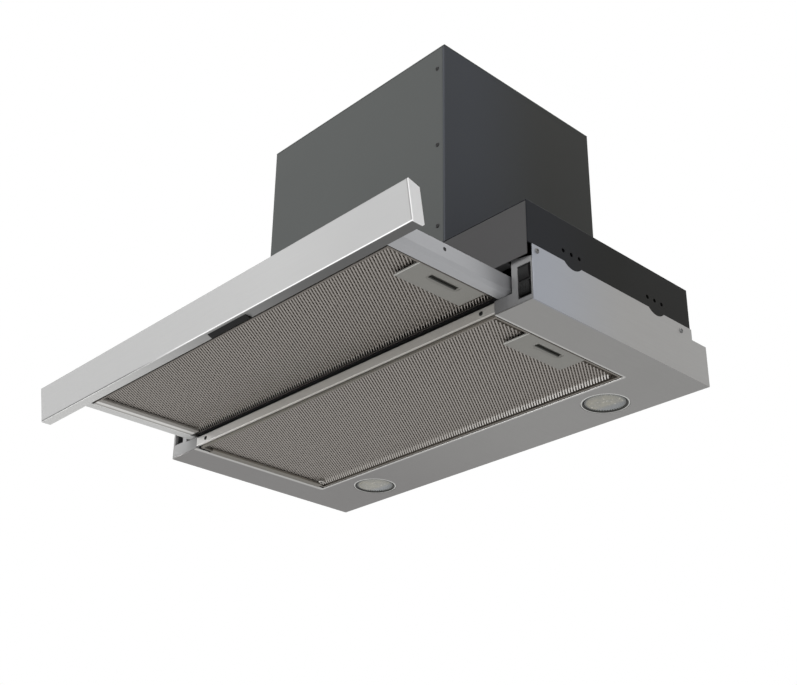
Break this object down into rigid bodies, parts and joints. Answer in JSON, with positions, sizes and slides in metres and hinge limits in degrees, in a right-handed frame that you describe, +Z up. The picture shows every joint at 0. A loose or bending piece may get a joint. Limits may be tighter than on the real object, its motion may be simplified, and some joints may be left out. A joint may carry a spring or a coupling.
{
  "type": "pull-out range hood",
  "caption": "Pull-out cooker hood for a wall cabinet: drawer with a brushed facade, hinged grease filters, lamps, rocker switches and a boxed blower with a duct spigot.",
  "frame": {"origin": "middle of the hood's footprint with its drawer out, in the plane of the pan's underside", "axes": "+X to the switch side, +Y to the wall, +Z up; rest pose has the drawer out, both filters shut and the latch bolts withdrawn"},
  "size_m": [0.599, 0.4476, 0.3868],
  "materials": {
    "pan_steel": "satin steel sheet",
    "chassis_paint": "satin dark grey coat on steel sheet",
    "housing_paint": "satin grey coat on steel sheet",
    "facade_steel": "brushed stainless skin, grain along the width",
    "galvanised": "zinc-coated steel",
    "rail_steel": "satin steel, drawn along its length",
    "cross_bar_steel": "bright satin strip",
    "screw_steel": "bright zinc screws",
    "black_screw": "blackened screws",
    "cap_plastic": "mid grey moulding, fine texture",
    "switch_plastic": "dark moulding",
    "spigot_plastic": "black moulding",
    "flap_plastic": "dark moulding",
    "scroll_plastic": "pale grey moulding",
    "wheel_plastic": "dark blue moulding",
    "motor_metal": "cast aluminium",
    "shaft_steel": "ground steel",
    "mount_rubber": "black rubber",
    "capacitor_case": "off-white case",
    "terminal_plastic": "black moulding",
    "lamp_trim": "satin trim ring",
    "lamp_metal": "formed cup",
    "lamp_glass": "frosted pressed glass",
    "filter_frame_alu": "folded aluminium channel",
    "filter_mesh_alu": "expanded aluminium foil in folded layers",
    "latch_metal": "grey satin plate",
    "slider_metal": "dark grey bolt",
    "tray_steel": "satin sheet",
    "core_steel": "zinc-coated steel",
    "shoe_nylon": "natural nylon",
    "tab_plastic": "black moulding"
  },
  "bodies": {
    "hood": {"lower_pan": "pan_steel", "pan_screws": "screw_steel", "cross_bar": "cross_bar_steel", "bar_screws": "black_screw", "end_cap_left": "cap_plastic", "end_cap_right": "cap_plastic", "switch_block": "switch_plastic", "chassis_shell": "chassis_paint", "chassis_front": "chassis_paint", "guide_left": "galvanised", "guide_right": "galvanised", "housing_front_wrap": "housing_paint", "housing_rear_wrap": "housing_paint", "housing_top": "housing_paint", "housing_screws": "black_screw", "outlet_spigot": "spigot_plastic", "spigot_screws": "screw_steel", "flap_pin": "shaft_steel", "scroll_left": "scroll_plastic", "scroll_right": "scroll_plastic", "motor": "motor_metal", "motor_bracket": "galvanised", "rubber_mounts": "mount_rubber", "capacitor": "capacitor_case", "terminal_box": "terminal_plastic", "terminal_cover": "terminal_plastic", "cable_gland": "terminal_plastic", "lamp_cup_left": "lamp_metal", "lamp_cup_right": "lamp_metal", "lamp_bezel_left": "lamp_trim", "lamp_bezel_right": "lamp_trim", "lamp_glass_left": "lamp_glass", "lamp_glass_right": "lamp_glass"},
    "drawer": {"drawer_rail_left": "rail_steel", "drawer_rail_right": "rail_steel", "rail_shoes": "shoe_nylon", "rail_screws": "black_screw", "drawer_tray": "tray_steel", "drawer_rear_bar": "tray_steel", "drawer_front_bar": "core_steel", "facade": "facade_steel", "facade_core": "core_steel", "pull_tab": "tab_plastic"},
    "front_filter": {"front_filter_frame": "filter_frame_alu", "front_filter_mesh": "filter_mesh_alu", "front_latch_plate": "latch_metal"},
    "rear_filter": {"rear_filter_frame": "filter_frame_alu", "rear_filter_mesh": "filter_mesh_alu", "rear_latch_plate": "latch_metal"},
    "front_latch": {"front_latch_slider": "slider_metal"},
    "rear_latch": {"rear_latch_slider": "slider_metal"},
    "fan_wheel": {"impeller": "wheel_plastic", "motor_shaft": "shaft_steel"},
    "damper_front": {"flap_front": "flap_plastic"},
    "damper_rear": {"flap_rear": "flap_plastic"},
    "light_switch": {"light_rocker": "switch_plastic"},
    "fan_switch": {"fan_rocker": "switch_plastic"}
  },
  "joints": [
    {"name": "drawer_slide", "type": "slide", "parent": "hood", "child": "drawer", "axis": [0, 1, 0], "range_m": [0, 0.1485]},
    {"name": "front_filter_hinge", "type": "hinge", "parent": "drawer", "child": "front_filter", "pos_m": [-0.2403, -0.11715, 0.0186], "axis": [0, -1, 0], "range_deg": [-60, 0]},
    {"name": "rear_filter_hinge", "type": "hinge", "parent": "hood", "child": "rear_filter", "pos_m": [-0.2359, 0.04685, 0.003], "axis": [0, -1, 0], "range_deg": [-60, 0]},
    {"name": "front_latch_slide", "type": "slide", "parent": "front_filter", "child": "front_latch", "axis": [1, 0, 0], "range_m": [0, 0.0035]},
    {"name": "rear_latch_slide", "type": "slide", "parent": "rear_filter", "child": "rear_latch", "axis": [1, 0, 0], "range_m": [0, 0.0035]},
    {"name": "fan_spin", "type": "hinge", "parent": "hood", "child": "fan_wheel", "pos_m": [0.0337, 0.08627, 0.2145], "axis": [1, 0, 0], "continuous": true},
    {"name": "damper_front_hinge", "type": "hinge", "parent": "hood", "child": "damper_front", "pos_m": [0.0337, 0.04121, 0.3598], "axis": [-1, 0, 0], "range_deg": [0, 75]},
    {"name": "damper_rear_hinge", "type": "hinge", "parent": "hood", "child": "damper_rear", "pos_m": [0.0337, 0.04121, 0.3598], "axis": [1, 0, 0], "range_deg": [0, 75]},
    {"name": "light_switch_rock", "type": "hinge", "parent": "hood", "child": "light_switch", "pos_m": [0.2738, -0.04715, 0.0311], "axis": [-1, 0, 0], "range_deg": [0, 14]},
    {"name": "fan_switch_rock", "type": "hinge", "parent": "hood", "child": "fan_switch", "pos_m": [0.2738, -0.04715, 0.0145], "axis": [-1, 0, 0], "range_deg": [-7, 7]}
  ]
}
